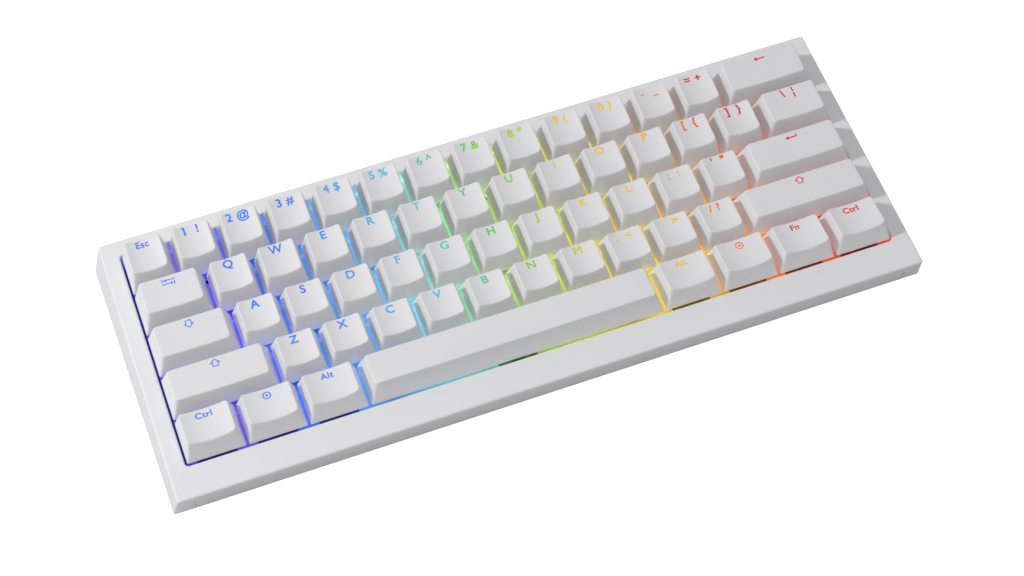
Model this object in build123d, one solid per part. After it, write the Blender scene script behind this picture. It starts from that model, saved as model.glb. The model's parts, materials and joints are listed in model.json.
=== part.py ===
from build123d import *
from collections import namedtuple
import math
import os

# A 61-key mechanical keyboard: a two-piece case, a switch plate and a circuit board carrying
# 61 key switches, and 61 keycaps. Lengths are millimetres, angles are degrees.
#
# Everything is modelled in the key frame: x runs right from the left edge of the key field,
# y runs back from its back edge, and z = 0 is the plane of the keycaps' lower rims, at rest.
# At the end each piece is turned by the typing angle and set on the desk: then Z = 0 is the
# desk under the rubber feet and the origin is the middle of the keyboard's outline.

# ---- driving dimensions --------------------------------------------------------------------
KEY_PITCH = 19.05            # one unit, the distance between neighbouring one-unit keys
FIELD_UNITS = 15
ROW_COUNT = 5
KEY_TRAVEL = 4.0
TYPING_ANGLE = 4.0           # slope of the key field above the desk
DESK_DROP = 19.5             # from z = 0 down to the desk, under the front face

SIDE_BEZEL = 7.2
BACK_BEZEL = 7.3
FRONT_BEZEL = 13.7
CASE_TOP = 0.4               # top face of the bezel
SIDE_FLARE = 0.164           # how far the side walls lean out, per unit of depth
WALL_LEAN = 0.224            # how far the front and rear walls lean back, per unit of depth
FRONT_WALL = 15.1            # depth of the front wall
CASE_WALL = 2.0
CASE_TOP_SKIN = 2.5
OPENING_GAP = 0.3            # key field to the edge of the opening
OPENING_CORNER = 1.6
RIB_WALL = 1.4               # the rib that hangs round the opening
RIB_BOTTOM = -9.5
UNDERSIDE_INSET = 3.0        # the tray draws in by this much between the belt and its floor
FOOT_PROUD = 1.2             # the feet hold the tray's floor this far above the desk
CORNER_RADIUS = 1.0

PLATE_TOP = -6.0             # standard key switch stack: plate, board, pins
PLATE_THICKNESS = 1.5
BOARD_TOP = PLATE_TOP - 5.0
BOARD_THICKNESS = 1.6
PIN_LENGTH = 3.2             # switch pins below the top of the board
FIT_GAP = 0.05               # side clearance of parts that snap together
FREE_GAP = 0.1               # clearance of parts that only sit side by side

# ---- sizes worked out from them ------------------------------------------------------------
FIELD_WIDTH = FIELD_UNITS * KEY_PITCH
FIELD_DEPTH = ROW_COUNT * KEY_PITCH
CASE_LEFT = -SIDE_BEZEL
CASE_RIGHT = FIELD_WIDTH + SIDE_BEZEL
CASE_BACK = BACK_BEZEL
CASE_FRONT = -FIELD_DEPTH - FRONT_BEZEL
PLATE_BOTTOM = PLATE_TOP - PLATE_THICKNESS
BOARD_BOTTOM = BOARD_TOP - BOARD_THICKNESS
TILT = math.radians(TYPING_ANGLE)

# The desk seen from the key frame. The belt is the level where the two halves of the case meet.
DESK = Plane(
    origin=(FIELD_WIDTH / 2, CASE_FRONT, -DESK_DROP),
    x_dir=(1, 0, 0),
    z_dir=(0, math.sin(TILT), math.cos(TILT)),
)
BELT_HEIGHT = (DESK_DROP - FRONT_WALL) * math.cos(TILT)
BELT = DESK.offset(BELT_HEIGHT)

# ---- the keys ------------------------------------------------------------------------------
# Each row lists its keys from left to right as (name, width in units).
LAYOUT = [
    [("escape", 1)] + [(f"number_{n}", 1) for n in "1234567890"]
    + [("minus", 1), ("equals", 1), ("backspace", 2)],
    [("tab", 1.5)] + [(c, 1) for c in "qwertyuiop"]
    + [("left_bracket", 1), ("right_bracket", 1), ("backslash", 1.5)],
    [("caps_lock", 1.75)] + [(c, 1) for c in "asdfghjkl"]
    + [("semicolon", 1), ("quote", 1), ("enter", 2.25)],
    [("left_shift", 2.25)] + [(c, 1) for c in "zxcvbnm"]
    + [("comma", 1), ("period", 1), ("slash", 1), ("right_shift", 2.75)],
    [("left_control", 1.25), ("left_system", 1.25), ("left_alt", 1.25), ("space", 6.25),
     ("right_alt", 1.25), ("right_system", 1.25), ("function", 1.25), ("right_control", 1.25)],
]

# Keys that share one node, because a part holds at most sixty of them.
SHARED_NODES = {
    "number_row_keys": [f"number_{n}" for n in "1234567890"] + ["minus", "equals"],
    "punctuation_keys": ["left_bracket", "right_bracket", "semicolon", "quote",
                         "comma", "period", "slash"],
    "control_keys": ["left_control", "right_control"],
    "system_keys": ["left_system", "right_system"],
    "alt_keys": ["left_alt", "right_alt"],
}

# Long keys: half the distance between the two stabiliser inserts, and the turn that puts the
# wire's bar in front of the key (0) or behind it (180).
Stabiliser = namedtuple("Stabiliser", "half_span turn")
STABILISED = {
    "backspace": Stabiliser(11.9, 0),
    "enter": Stabiliser(11.9, 0),
    "left_shift": Stabiliser(11.9, 0),
    "right_shift": Stabiliser(11.9, 0),
    "space": Stabiliser(50.0, 180),
}

# The top face of a cap in each row, back row first: heights of its back and front edges above
# the rim, and how far those edges lie behind and before the middle of the key.
TopFace = namedtuple("TopFace", "back_height front_height back_y front_y")
ROW_TOPS = [
    TopFace(13.2, 11.8, 7.0, -6.4),
    TopFace(12.6, 12.0, 6.9, -6.6),
    TopFace(10.6, 10.5, 6.8, -6.6),
    TopFace(9.7, 10.7, 6.6, -7.0),
    TopFace(8.7, 10.1, 7.4, -6.0),
]

Key = namedtuple("Key", "name row units x y node")


def place_keys():
    """Walk along each row and give every key its middle point."""
    keys = []
    for row, entries in enumerate(LAYOUT):
        left = 0.0
        y = -(row + 0.5) * KEY_PITCH
        for name, units in entries:
            shared = [node for node, names in SHARED_NODES.items() if name in names]
            node = shared[0] if shared else f"{name}_key"
            keys.append(Key(name, row, units, (left + units / 2) * KEY_PITCH, y, node))
            left += units
    return keys


KEYS = place_keys()
KEY_POINTS = [(key.x, key.y) for key in KEYS]
LONG_KEYS = [key for key in KEYS if key.name in STABILISED]


def box(x_low, x_high, y_low, y_high, z_low, z_high):
    """An upright block between two corners."""
    size = (x_high - x_low, y_high - y_low, z_high - z_low)
    middle = ((x_low + x_high) / 2, (y_low + y_high) / 2, (z_low + z_high) / 2)
    return Pos(*middle) * Box(*size)


def centred_box(x_size, y_size, z_low, z_high, y_middle=0.0):
    """An upright block centred on x = 0."""
    return box(-x_size / 2, x_size / 2, y_middle - y_size / 2, y_middle + y_size / 2, z_low, z_high)


def rod(radius, z_low, z_high):
    """An upright round rod on the z axis."""
    return Pos(0, 0, (z_low + z_high) / 2) * Cylinder(radius, z_high - z_low)


def copies(shape, points):
    """The same piece at many key positions, as separate solids."""
    return [Pos(x, y, 0) * shape for x, y in points]


def at_stabilisers(shape, key):
    """The same piece at both inserts of a long key, centred on the key."""
    half_span, turn = STABILISED[key.name]
    return [Pos(side * half_span, 0, 0) * Rot(0, 0, turn) * shape for side in (-1, 1)]


def on_key(key, pieces):
    """Pieces modelled round the origin, moved to their key."""
    return [Pos(key.x, key.y, 0) * piece for piece in pieces]


# ---- keycaps -------------------------------------------------------------------------------
CAP_GAP = 0.95               # between the skirts of neighbouring caps
CAP_WALL = 1.35
CAP_ROOF = 1.5
CAP_CORNER_RADIUS = 1.0
CAP_EDGE_FILLET = 0.5
CAP_BLOCK_HEIGHT = 16.0      # the block a cap is cut from reaches over every row's top face
CAP_INSET = 2.1              # skirt to top face at each side, on keys up to 1.25 units
WIDE_CAP_INSET = 2.75        # the same on wider keys
POST_RADIUS = 2.75
POST_BOTTOM = 0.75
CROSS_REACH = 4.0            # length of each arm pair of the stem's cross
CROSS_THICK = 1.2
CROSS_TOP = 4.2
SOCKET_TOP = 4.5

# Depth of the finger scoop in the top face, by key width.
SCOOP_DEPTH = {1: 1.45, 1.25: 1.75, 1.5: 0.6}
WIDE_SCOOP_DEPTH = 0.35


def top_plane(face):
    """The sloping plane that holds the four corners of a cap's top face."""
    slope = math.atan2(face.back_height - face.front_height, face.back_y - face.front_y)
    middle = (0, (face.back_y + face.front_y) / 2, (face.back_height + face.front_height) / 2)
    return Plane(origin=middle, x_dir=(1, 0, 0), z_dir=(0, -math.sin(slope), math.cos(slope)))


def top_length(face):
    return math.hypot(face.back_height - face.front_height, face.back_y - face.front_y)


def cross_prism(reach, thick, z_low, z_high):
    """The plus-shaped prism that joins cap and stem."""
    across = centred_box(reach, thick, z_low, z_high)
    along = centred_box(thick, reach, z_low, z_high)
    return across + along


def scoop(face, top_width, depth):
    """The cylinder that hollows a cap's top face from side to side."""
    half_chord = top_width / 2 + 0.3
    radius = (half_chord ** 2 + depth ** 2) / (2 * depth)
    return top_plane(face) * Pos(0, 0, radius - depth) * Rot(90, 0, 0) * Cylinder(radius, 3 * KEY_PITCH)


def cap_block(width, depth, inset, face):
    """The block a cap is cut from: four flat sides that lean in, with rounded upright edges."""
    high = CAP_BLOCK_HEIGHT
    half_top = width / 2 - inset * high / top_plane(face).origin.Z
    front = -depth / 2 + (face.front_y + depth / 2) * high / face.front_height
    back = depth / 2 + (face.back_y - depth / 2) * high / face.back_height
    front_view = Plane.XZ * Polygon(
        (-width / 2, 0), (width / 2, 0), (half_top, high), (-half_top, high), align=None)
    side_view = Plane.YZ * Polygon(
        (-depth / 2, 0), (depth / 2, 0), (back, high), (front, high), align=None)
    block = extrude(front_view, depth, both=True) & extrude(side_view, width, both=True)
    upright = [edge for edge in block.edges() if abs(edge.tangent_at(0.5).Z) > 0.7]
    return fillet(upright, CAP_CORNER_RADIUS)


def cap(key):
    """A hollow keycap with its scooped top and the posts under it, centred on the key."""
    face = ROW_TOPS[key.row]
    width = key.units * KEY_PITCH - CAP_GAP
    depth = KEY_PITCH - CAP_GAP
    inset = CAP_INSET if key.units <= 1.25 else WIDE_CAP_INSET
    scoop_depth = SCOOP_DEPTH.get(key.units, WIDE_SCOOP_DEPTH)
    top_width = width - 2 * inset

    body = cap_block(width, depth, inset, face) - scoop(face, top_width, scoop_depth)
    scooped_face = max(body.faces().filter_by(GeomType.CYLINDER), key=lambda f: f.area)
    body = fillet(scooped_face.edges(), CAP_EDGE_FILLET)

    roof = top_plane(face).offset(-scoop_depth - CAP_ROOF)
    mouth = Rectangle(width - 2 * CAP_WALL, depth - 2 * CAP_WALL)
    ceiling = roof * Rectangle(top_width - 2 * CAP_WALL, top_length(face) - 2 * CAP_WALL)
    hollow = loft([mouth, ceiling]) + centred_box(width - 2 * CAP_WALL, depth - 2 * CAP_WALL, -1, 0)
    body = body - hollow

    post = rod(POST_RADIUS, POST_BOTTOM, roof.origin.Z + CAP_ROOF / 2)
    post -= cross_prism(CROSS_REACH + 2 * FIT_GAP, CROSS_THICK + 2 * FIT_GAP, 0, SOCKET_TOP)
    body = body + post
    if key.name in STABILISED:
        body = body + at_stabilisers(post, key)
    return body


# ---- switches ------------------------------------------------------------------------------
PLATE_HOLE = 14.0
LOWER_SIZE = PLATE_HOLE - 2 * FIT_GAP
FLANGE_SIZE = 15.6
HOUSING_TOP = 0.6
HOUSING_TOP_SIZE = (11.5, 10.5)
CAVITY = (10.0, 7.6)         # inside both housings, x and y
LOWER_FLOOR = BOARD_TOP + 1.0
SLIDER = (7.2, 5.6)
SHOULDER = (9.0, 7.0)
SHOULDER_TOP = -0.7
STEM_BOTTOM = -4.4
POLE_RADIUS = 1.3
POLE_BOTTOM = -9.2
POCKET_RADIUS = 2.6          # the round pocket in the stem that takes the spring
POCKET_TOP = -1.9
GUIDE_RADIUS = 1.5           # bore of the lower housing's centre pin, which guides the pole
CENTRE_PIN_RADIUS = 1.9
LAMP_Y = 5.2                 # the lamp shines up behind the stem
LAMP_NOTCH = (5.0, 4.4)      # the opening round it in both housings, from the cavity backwards
LAMP_NOTCH_Y = 6.0
CONTACT_Y = -5.0
CONTACT_PINS = [(3.81, -2.54), (-2.54, -5.08)]
SPRING_RADIUS = 2.0
SPRING_WIRE = 0.17
SPRING_COILS = 6


def lower_housing():
    """The box between plate and board, with its guide pin, lamp notch and slots for the contacts."""
    body = centred_box(LOWER_SIZE, LOWER_SIZE, BOARD_TOP + FIT_GAP, PLATE_TOP - FIT_GAP)
    body += rod(CENTRE_PIN_RADIUS, BOARD_TOP - PIN_LENGTH, LOWER_FLOOR)
    body -= centred_box(*CAVITY, LOWER_FLOOR, 0)
    body -= rod(GUIDE_RADIUS, BOARD_TOP - PIN_LENGTH + 0.6, 0)
    body -= centred_box(*LAMP_NOTCH, BOARD_TOP - 1, 0, y_middle=LAMP_NOTCH_Y)
    body -= centred_box(9.4, 1.6, LOWER_FLOOR, 0, y_middle=CONTACT_Y)
    foot_x, foot_y = CONTACT_PINS[0]
    body -= box(foot_x - 1.5, foot_x + 0.5, CONTACT_Y, foot_y, LOWER_FLOOR, LOWER_FLOOR + 0.6)
    for x, y in CONTACT_PINS:
        body -= Pos(x, y, 0) * centred_box(1.4, 1.0, BOARD_TOP - 1, LOWER_FLOOR + 0.5)
    return body


def upper_housing():
    """The flanged cover over the plate, tapered, with the stem opening and the lamp window."""
    flange_top = PLATE_TOP + FREE_GAP + 1.0
    body = centred_box(FLANGE_SIZE, FLANGE_SIZE, PLATE_TOP + FREE_GAP, flange_top)
    base = Plane.XY.offset(flange_top) * Rectangle(14.0, 14.0)
    crown = Plane.XY.offset(HOUSING_TOP) * Rectangle(*HOUSING_TOP_SIZE)
    body += loft([base, crown])
    body -= centred_box(*CAVITY, PLATE_TOP, SHOULDER_TOP + FREE_GAP)
    body -= centred_box(SLIDER[0] + 0.4, SLIDER[1] + 0.5, PLATE_TOP, HOUSING_TOP + 1)
    body -= centred_box(*LAMP_NOTCH, PLATE_TOP, HOUSING_TOP + 1, y_middle=LAMP_NOTCH_Y)
    return body


def stem():
    """The slider: cross on top, shoulder that stops under the cover, pocket and guide pole."""
    body = centred_box(*SLIDER, SHOULDER_TOP, HOUSING_TOP)
    body += centred_box(*SHOULDER, STEM_BOTTOM, SHOULDER_TOP)
    body += cross_prism(CROSS_REACH, CROSS_THICK, HOUSING_TOP, CROSS_TOP)
    body -= rod(POCKET_RADIUS, STEM_BOTTOM - 1, POCKET_TOP)
    body += rod(POLE_RADIUS, POLE_BOTTOM, POCKET_TOP)
    return body


def spring():
    """The coil spring between the lower housing's floor and the stem's pocket."""
    low = LOWER_FLOOR + SPRING_WIRE + FREE_GAP
    high = POCKET_TOP - SPRING_WIRE - FREE_GAP
    path = Helix(pitch=(high - low) / SPRING_COILS, height=high - low, radius=SPRING_RADIUS)
    section = Plane(origin=path @ 0, z_dir=path % 0) * Circle(SPRING_WIRE)
    return Pos(0, 0, low) * sweep(section, path=path, is_frenet=True)


def contacts():
    """The fixed and the moving contact: an upright leaf each, on a pin through the board."""
    pieces = []
    for (x, y), leaf_y in zip(CONTACT_PINS, (CONTACT_Y - 0.45, CONTACT_Y + 0.3)):
        leaf_x = math.copysign(2.8, x)
        leaf_low = LOWER_FLOOR + FREE_GAP
        leaf = Pos(leaf_x, 0, 0) * centred_box(3.0, 0.25, leaf_low, PLATE_TOP - 0.4, y_middle=leaf_y)
        foot = box(min(x, leaf_x) - 0.3, max(x, leaf_x) + 0.3, min(y, leaf_y) - 0.12,
                   max(y, leaf_y) + 0.12, leaf_low, leaf_low + 0.3)
        pin = Pos(x, y, 0) * centred_box(0.9, 0.6, BOARD_TOP - PIN_LENGTH, leaf_low + 0.3)
        pieces.append(leaf + foot + pin)
    return pieces


def lamp():
    """A surface-mount colour LED: white body with a clear dome on top."""
    body = centred_box(3.4, 2.6, BOARD_TOP + FIT_GAP, BOARD_TOP + 1.3, y_middle=LAMP_Y)
    dome = centred_box(2.6, 2.0, BOARD_TOP + 1.3, BOARD_TOP + 1.8, y_middle=LAMP_Y)
    return body + dome


# ---- stabilisers ---------------------------------------------------------------------------
ARM_LENGTH = 9.0             # from the wire's bar to the insert
WIRE_RADIUS = 0.8
WIRE_BEND = 1.8
PIVOT_Z = -5.1               # height of the wire's long bar, just over the plate
ARM_SWING = math.degrees(math.asin(KEY_TRAVEL / 2 / ARM_LENGTH))   # above and below level
INSERT = (5.0, 5.8)
INSERT_BOTTOM = -6.6
GUIDE_WALL = 0.6
GUIDE_INSIDE = (6.0, 6.4)
JAW_X = (-4.0, 4.0)
JAW_Y = (-ARM_LENGTH - 1.3, -ARM_LENGTH + 1.6)
GUIDE_BOTTOM = BOARD_TOP + 0.2
GUIDE_TOP = -0.6


def insert():
    """The slider under each end of a long cap, with a slot through it for the wire."""
    body = centred_box(*INSERT, INSERT_BOTTOM, HOUSING_TOP)
    body += cross_prism(CROSS_REACH, CROSS_THICK, HOUSING_TOP, CROSS_TOP)
    slot_middle = PIVOT_Z + KEY_TRAVEL / 2
    body -= box(-1.2, 1.2, -4, 1.2, slot_middle - 1.5, slot_middle + 1.5)
    return body


def stabiliser_housing():
    """The guide that holds one insert, clipped in the plate, with the jaws for the wire."""
    x_size = GUIDE_INSIDE[0] + 2 * GUIDE_WALL
    y_size = GUIDE_INSIDE[1] + 2 * GUIDE_WALL
    body = centred_box(x_size, y_size, GUIDE_BOTTOM, GUIDE_TOP)
    flange_low = PLATE_TOP + FIT_GAP
    jaw_half = WIRE_RADIUS + 0.15
    body += box(*JAW_X, -ARM_LENGTH + jaw_half, y_size / 2 + 0.6, flange_low, flange_low + 0.8)
    body += box(*JAW_X, *JAW_Y, PIVOT_Z - WIRE_RADIUS - 0.7, PIVOT_Z + 0.7)
    body -= centred_box(*GUIDE_INSIDE, GUIDE_BOTTOM - 1, GUIDE_TOP + 1)
    body -= box(-1.2, 1.2, -ARM_LENGTH - 2, 0, GUIDE_BOTTOM + 0.6, GUIDE_TOP - 0.6)
    body -= box(-5, 5, -ARM_LENGTH - jaw_half, -ARM_LENGTH + jaw_half, PIVOT_Z - jaw_half, 0)
    return body


def stabiliser_wire(half_span):
    """A U of spring wire: a long bar that turns in the jaws and an arm into each insert."""
    rise = math.radians(ARM_SWING)
    reach = ARM_LENGTH - 0.3
    tip = (0, -ARM_LENGTH + reach * math.cos(rise), PIVOT_Z + reach * math.sin(rise))
    corners = [
        (-half_span, tip[1], tip[2]),
        (-half_span, -ARM_LENGTH, PIVOT_Z),
        (half_span, -ARM_LENGTH, PIVOT_Z),
        (half_span, tip[1], tip[2]),
    ]
    path = FilletPolyline(*corners, radius=WIRE_BEND)
    section = Plane(origin=path @ 0, z_dir=path % 0) * Circle(WIRE_RADIUS)
    return sweep(section, path=path)


# ---- plate, board and what is on it --------------------------------------------------------
PLATE_EDGE = 0.3             # plate outline inside the key field
SCREW_RADIUS = 0.95
SCREW_HEAD = (1.8, 1.3)      # radius and height
SCREW_LENGTH = 6.0
SCREW_POINTS = [(1.5 * KEY_PITCH, -KEY_PITCH), (7.5 * KEY_PITCH, -KEY_PITCH), (12 * KEY_PITCH, -KEY_PITCH),
                (3 * KEY_PITCH, -4 * KEY_PITCH), (7 * KEY_PITCH, -3 * KEY_PITCH),
                (11.5 * KEY_PITCH, -4 * KEY_PITCH)]
CHIP_SIZE = 7.0
CHIP_LEG_PITCH = 0.5
CHIP_LEG_REACH = 0.9
CHIP_PLACE = (5.25 * KEY_PITCH, -2.1 * KEY_PITCH)    # in the free strip between two rows of pins
USB_X = 1.75 * KEY_PITCH
USB_SIZE = (8.9, 7.3, 3.2)
USB_PLUG_SIZE = (12.6, 7.2)  # room in the rear wall for a plug's grip
USB_MOUTH_Y = 7.4            # the board reaches back under the bezel to carry the socket


def sheet(edge, z_low, z_high):
    """A flat sheet with the outline of the key field, drawn in by the given edge."""
    return box(edge, FIELD_WIDTH - edge, edge - FIELD_DEPTH, -edge, z_low, z_high)


def switch_plate():
    """The plate the switches snap into, with room for stabilisers and for the screws."""
    holes = centred_box(PLATE_HOLE, PLATE_HOLE, PLATE_BOTTOM - 1, PLATE_TOP + 1)
    guide_hole = centred_box(7.4, 7.9, PLATE_BOTTOM - 1, PLATE_TOP + 1)
    guide_hole += box(-1.3, 1.3, -8.6, 0, PLATE_BOTTOM - 1, PLATE_TOP + 1)
    guide_hole += box(JAW_X[0] - FREE_GAP, JAW_X[1] + FREE_GAP, JAW_Y[0] - FREE_GAP, JAW_Y[1] + FREE_GAP,
                      PLATE_BOTTOM - 1, PLATE_TOP + 1)
    screw_hole = rod(SCREW_HEAD[0] + 0.15, PLATE_BOTTOM - 1, PLATE_TOP + 1)
    cutters = copies(holes, KEY_POINTS) + copies(screw_hole, SCREW_POINTS)
    for key in LONG_KEYS:
        cutters += on_key(key, at_stabilisers(guide_hole, key))
    return sheet(PLATE_EDGE, PLATE_BOTTOM, PLATE_TOP) - cutters


def circuit_board():
    """The board with the USB socket's tab, drilled for the switches' pins and for the screws."""
    deep, high = BOARD_BOTTOM - 1, BOARD_TOP + 1
    cutters = copies(rod(CENTRE_PIN_RADIUS + 0.2, deep, high), KEY_POINTS)
    for x, y in CONTACT_PINS:
        cutters += copies(Pos(x, y, 0) * centred_box(1.2, 0.9, deep, high), KEY_POINTS)
    cutters += copies(rod(SCREW_RADIUS + 0.25, deep, high), SCREW_POINTS)
    tab = box(USB_X - 7, USB_X + 7, -2, USB_MOUTH_Y - 1, BOARD_BOTTOM, BOARD_TOP)
    return sheet(PLATE_EDGE + 0.2, BOARD_BOTTOM, BOARD_TOP) + tab - cutters


def controller_chip():
    """The square controller under the board, with a row of legs along each side."""
    body = centred_box(CHIP_SIZE, CHIP_SIZE, BOARD_BOTTOM - 1.7, BOARD_BOTTOM - 0.3)
    root, tip = CHIP_SIZE / 2 - 0.1, CHIP_SIZE / 2 + CHIP_LEG_REACH
    for turn in range(4):
        for step in range(-5, 6):
            x = step * CHIP_LEG_PITCH
            leg = box(x - 0.13, x + 0.13, root, tip, BOARD_BOTTOM - 0.9, BOARD_BOTTOM - 0.1)
            body += Rot(0, 0, 90 * turn) * leg
    return Pos(*CHIP_PLACE, 0) * body


def usb_socket():
    """The receptacle under the board's tab: a rounded tube with a tongue inside."""
    width, depth, height = USB_SIZE
    z_middle = BOARD_BOTTOM - FREE_GAP - height / 2
    mouth = Plane(origin=(USB_X, USB_MOUTH_Y, z_middle), x_dir=(1, 0, 0), z_dir=(0, -1, 0))
    shell = extrude(mouth * RectangleRounded(width, height, height / 2 - 0.05), depth)
    shell -= extrude(mouth * RectangleRounded(width - 0.6, height - 0.6, height / 2 - 0.4), depth - 1)
    shell += extrude(mouth.offset(0.6) * Rectangle(6.7, 0.7), depth - 0.8)
    return shell


def usb_cutout():
    """The opening in the rear wall around the USB socket's mouth."""
    z_middle = BOARD_BOTTOM - FREE_GAP - USB_SIZE[2] / 2
    start = Plane(origin=(USB_X, USB_MOUTH_Y + 0.2, z_middle), x_dir=(1, 0, 0), z_dir=(0, 1, 0))
    return extrude(start * RectangleRounded(*USB_PLUG_SIZE, 2.0), 2 * BACK_BEZEL)


def board_screw():
    """A machine screw from the board down into the tray's post, with a cross recess."""
    head_radius, head_height = SCREW_HEAD
    body = rod(head_radius, BOARD_TOP + FREE_GAP, BOARD_TOP + FREE_GAP + head_height)
    body += rod(SCREW_RADIUS, BOARD_TOP - SCREW_LENGTH, BOARD_TOP + FREE_GAP)
    body -= cross_prism(2.0, 0.5, BOARD_TOP + head_height - 0.6, BOARD_TOP + 2 * head_height)
    return body


# ---- case ----------------------------------------------------------------------------------
LIP_HEIGHT = 3.0             # the tray's lip stands this far into the top case
LIP_WALL = 1.3
FRONT_STRIP_RECESS = 0.3
FRONT_STRIP_HEIGHT = 9.4
FRONT_STRIP_ENDS = 6.0       # strip to the corners of the front face
FOOT_SIZE = (26.0, 7.0, 2.0)
FOOT_RADIUS = 3.4
SCREW_POST_RADIUS = 2.6


def half_width(inset, z):
    """Half the case's width at one height, drawn in by inset."""
    return FIELD_WIDTH / 2 + SIDE_BEZEL + SIDE_FLARE * (CASE_TOP - z) - inset


def lean(z):
    """How far back the front and rear walls have moved at one height."""
    return WALL_LEAN * (CASE_TOP - z)


def case_prism(inset, top):
    """The block inside the case's leaning walls, drawn in on every side by inset."""
    low = -2 * DESK_DROP
    front_view = Plane.XZ * Polygon(
        (-half_width(inset, top), top), (half_width(inset, top), top),
        (half_width(inset, low), low), (-half_width(inset, low), low), align=None)
    front, back = CASE_FRONT + inset, CASE_BACK - inset
    side_view = Plane.YZ * Polygon(
        (front + lean(top), top), (back + lean(top), top),
        (back + lean(low), low), (front + lean(low), low), align=None)
    across = extrude(front_view, FIELD_WIDTH, both=True)
    along = extrude(side_view, FIELD_WIDTH, both=True)
    return Pos(FIELD_WIDTH / 2, 0, 0) * (across & along)


def above(level):
    """Everything higher than a level plane, as a block large enough for the case."""
    return level * Pos(0, 0, 50) * Box(500, 500, 100)


def below(level):
    return level * Pos(0, 0, -50) * Box(500, 500, 100)


def opening(grow, z_low, z_high):
    """The block of the key opening, grown outward."""
    reach = OPENING_GAP + grow
    return box(-reach, FIELD_WIDTH + reach, -FIELD_DEPTH - reach, reach, z_low, z_high)


def front_strip(recess, height, end_gap):
    """The part of the front wall, above the belt, that belongs to the tray."""
    ends = FRONT_STRIP_ENDS + end_gap
    front_half = box(CASE_LEFT + ends, CASE_RIGHT - ends, 2 * CASE_FRONT, CASE_FRONT / 2,
                     -DESK_DROP, CASE_TOP)
    wall = case_prism(recess, CASE_TOP) - case_prism(CASE_WALL + 0.1, CASE_TOP + 1)
    return wall & front_half & above(BELT.offset(-0.01)) & below(BELT.offset(height))


def top_case():
    """The white frame: bezel, flared side walls and the rib round the key opening."""
    body = case_prism(0, CASE_TOP)
    corners = [edge for edge in body.edges() if abs(edge.tangent_at(0.5).Z) > 0.9]
    body = fillet(corners, CORNER_RADIUS)
    body = body - below(BELT)
    top_face = max(body.faces(), key=lambda f: f.center().Z)
    body = fillet(top_face.edges(), 0.8)

    inside = case_prism(CASE_WALL, CASE_TOP - CASE_TOP_SKIN)
    body = body - (inside - opening(RIB_WALL, RIB_BOTTOM, CASE_TOP))
    cut = fillet(opening(0, -2 * DESK_DROP, 1).edges().filter_by(Axis.Z), OPENING_CORNER)
    body = body - cut
    rim = [edge for edge in body.edges() if abs(edge.center().Z - CASE_TOP) < 0.01
           and CASE_LEFT + 4 < edge.center().X < CASE_RIGHT - 4
           and CASE_FRONT + 8 < edge.center().Y < CASE_BACK - 4]
    body = fillet(rim, 0.9)
    return body - front_strip(-1, FRONT_STRIP_HEIGHT, 0) - usb_cutout()


def belt_outline(inset):
    """The case's outline at the belt, drawn in by inset, as a face on the ground plane."""
    cut = BELT.location.inverse() * section(case_prism(inset, CASE_TOP), section_by=BELT)
    corners = [(vertex.X, vertex.Y) for vertex in cut.vertices()]
    return fillet(Polygon(*corners, align=None).vertices(), CORNER_RADIUS)


def tray_block(inset, floor_height):
    """The tapered underside between the belt and a level floor."""
    taper = UNDERSIDE_INSET / (BELT_HEIGHT - FOOT_PROUD)
    drawn_in = inset + taper * (BELT_HEIGHT - floor_height)
    return loft([DESK.offset(floor_height) * belt_outline(drawn_in), BELT * belt_outline(inset)])


def foot_places():
    """The four foot positions on the desk plane, near the corners of the floor."""
    return [(x, y) for x in (-118.0, 118.0) for y in (20.0, 105.0)]


def foot(grow, low, high):
    """A foot's rounded strip between two heights above the desk."""
    outline = RectangleRounded(FOOT_SIZE[0] + grow, FOOT_SIZE[1] + grow, FOOT_RADIUS)
    return extrude(DESK.offset(low) * outline, high - low)


def feet(grow, low, high):
    return [DESK.location * Pos(x, y, 0) * DESK.location.inverse() * foot(grow, low, high)
            for x, y in foot_places()]


def bottom_case():
    """The tray: tapered shell, lip, screw posts, front strip and the seats of the feet."""
    body = tray_block(0, FOOT_PROUD) - tray_block(CASE_WALL + 0.6, FOOT_PROUD + CASE_WALL)
    lip = case_prism(CASE_WALL + FREE_GAP, CASE_TOP) - case_prism(CASE_WALL + LIP_WALL, CASE_TOP + 1)
    lip = lip & above(BELT.offset(-1.0)) & below(BELT.offset(LIP_HEIGHT))
    body = body + lip
    body = body + front_strip(FRONT_STRIP_RECESS, FRONT_STRIP_HEIGHT - FREE_GAP, FREE_GAP)
    for x, y in SCREW_POINTS:
        post = rod(SCREW_POST_RADIUS, -2 * DESK_DROP, BOARD_BOTTOM - FREE_GAP)
        pilot = rod(SCREW_RADIUS + FREE_GAP, BOARD_TOP - SCREW_LENGTH - 0.5, 0)
        body = body + (Pos(x, y, 0) * post & above(DESK.offset(FOOT_PROUD + 0.5)))
        body = body - Pos(x, y, 0) * pilot
    return body - feet(0.3, 0, FOOT_SIZE[2] + FREE_GAP) - usb_cutout()


# ---- build, set on the desk and write ------------------------------------------------------
def key_pieces(key):
    """A key's moving solids: its cap, its stem and any stabiliser inserts."""
    pieces = [cap(key), stem()]
    if key.name in STABILISED:
        pieces += at_stabilisers(insert(), key)
    return on_key(key, pieces)


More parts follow.
